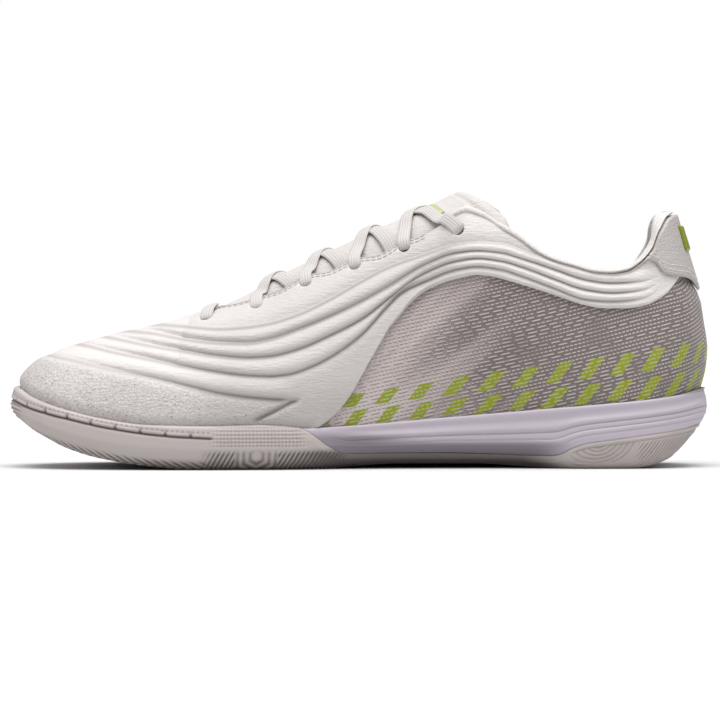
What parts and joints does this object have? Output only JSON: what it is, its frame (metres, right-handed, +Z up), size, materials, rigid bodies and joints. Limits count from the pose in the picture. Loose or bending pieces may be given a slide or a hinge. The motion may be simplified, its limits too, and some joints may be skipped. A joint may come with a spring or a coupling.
{
  "type": "indoor soccer shoe",
  "caption": "Low-cut indoor soccer shoe for the right foot, with a ribbed leather upper, knitted quarter, padded collar, laced tongue, foam midsole and flat rubber outsole.",
  "frame": {"origin": "middle of the shoe's bounding box, on the floor under the sole", "axes": "+X towards the heel, -X towards the toe, -Y towards the inner (big toe) side, +Z up"},
  "size_m": [0.2934, 0.105, 0.1149],
  "materials": {
    "outsole_rubber": "matte moulded non-marking rubber",
    "midsole_foam": "moulded foam skin, satin",
    "upper_leather": "soft ribbed leather, satin",
    "quarter_knit": "jacquard knit with light dashes",
    "lining_textile": "brushed knit lining",
    "tongue_leather": "soft leather, satin",
    "lace_textile": "flat woven lace",
    "lime_print": "lime transfer print"
  },
  "bodies": {
    "root": {"outsole": "outsole_rubber", "midsole": "midsole_foam", "insole": "lining_textile", "upper": "upper_leather", "heel_tab": "upper_leather", "heel_badge": "lime_print", "collar_lining": "lining_textile", "tongue": "tongue_leather", "lace_bar": "lace_textile", "lace_cross_1": "lace_textile", "lace_cross_2": "lace_textile", "lace_cross_3": "lace_textile", "lace_cross_4": "lace_textile"}
  },
  "joints": []
}
